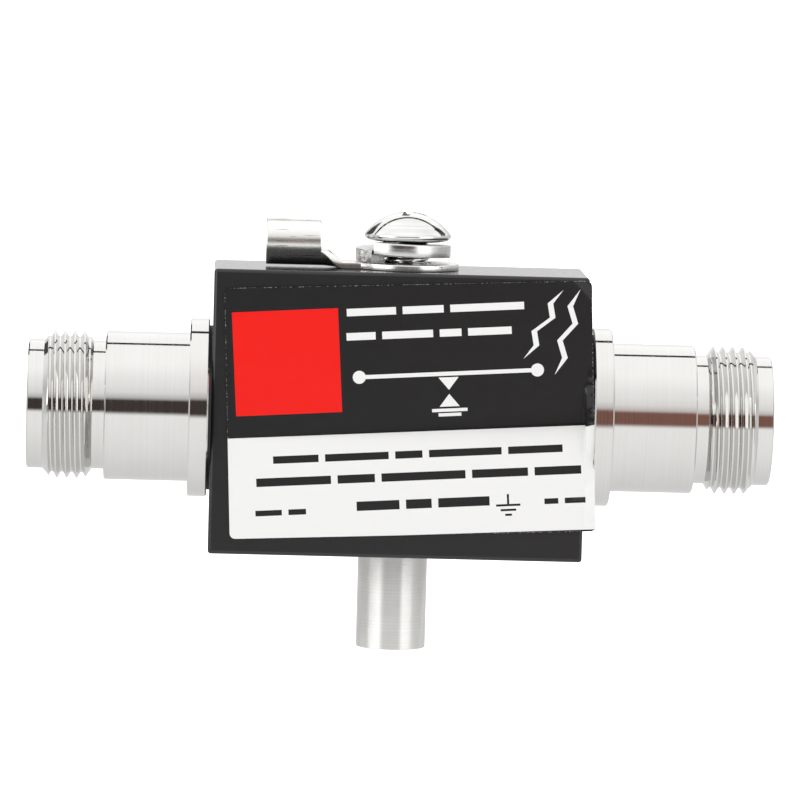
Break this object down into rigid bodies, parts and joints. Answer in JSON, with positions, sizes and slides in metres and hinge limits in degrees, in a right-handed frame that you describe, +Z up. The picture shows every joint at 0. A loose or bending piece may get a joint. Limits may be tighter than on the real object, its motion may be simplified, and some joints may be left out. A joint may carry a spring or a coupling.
{
  "type": "coax lightning arrestor",
  "caption": "Black block with a threaded coax jack at each end, a gas tube behind a turned screw cap below, and a ground screw with a ring terminal on top.",
  "frame": {"origin": "on the coax line, halfway along the thread of the left jack", "axes": "+X along the coax line to the right jack, +Y to the back, away from the label, +Z up to the ground terminal"},
  "size_m": [0.0799, 0.0192, 0.047],
  "materials": {
    "black_paint": "glossy black paint on an aluminium block",
    "nickel_plate": "bright nickel over turned brass",
    "white_insulator": "waxy white fluoropolymer",
    "gold_contact": "thin gold plate",
    "gasket_rubber": "black sheet rubber",
    "line_brass": "turned brass",
    "tube_ceramic": "pale alumina",
    "electrode_metal": "tinned electrode",
    "spring_steel": "bright spring wire",
    "turned_aluminium": "satin turned metal with fine lathe lines",
    "bright_zinc": "bright plated steel",
    "tin_plate": "bright tin plate with scratches",
    "label_film": "glossy printed film"
  },
  "bodies": {
    "block": {"body": "black_paint", "left_jack_shell": "nickel_plate", "right_jack_shell": "nickel_plate", "left_insulator": "white_insulator", "right_insulator": "white_insulator", "left_centre_contact": "gold_contact", "right_centre_contact": "gold_contact", "left_gasket": "gasket_rubber", "right_gasket": "gasket_rubber", "line_conductor": "line_brass", "front_label": "label_film"},
    "gas_tube": {"gas_tube_ceramic": "tube_ceramic", "upper_electrode": "electrode_metal", "lower_electrode": "electrode_metal", "contact_spring": "spring_steel"},
    "cap": {"gas_tube_cap": "turned_aluminium"},
    "washer": {"lock_washer": "bright_zinc"},
    "screw": {"ground_screw": "bright_zinc"},
    "lug": {"ring_terminal": "tin_plate"}
  },
  "joints": [
    {"name": "tube_travel", "type": "slide", "parent": "block", "child": "gas_tube", "axis": [0, 0, -1], "range_m": [0, 0.009]},
    {"name": "cap_turn", "type": "hinge", "parent": "gas_tube", "child": "cap", "pos_m": [0.03525, 0, -0.015], "axis": [0, 0, -1], "range_deg": [0, 3240]},
    {"name": "washer_travel", "type": "slide", "parent": "block", "child": "washer", "axis": [0, 0, 1], "range_m": [0, 0.0064]},
    {"name": "screw_turn", "type": "hinge", "parent": "washer", "child": "screw", "pos_m": [0.03595, 0, 0.0155], "axis": [0, 0, 1], "range_deg": [0, 2880]},
    {"name": "lug_swivel", "type": "hinge", "parent": "block", "child": "lug", "pos_m": [0.03595, 0, 0.0155], "axis": [0, 0, 1], "continuous": true}
  ],
  "couplings": [
    {"joint": "cap_turn", "follows": "tube_travel", "rad_per_m": 6283.2},
    {"joint": "screw_turn", "follows": "washer_travel", "rad_per_m": 7854}
  ]
}
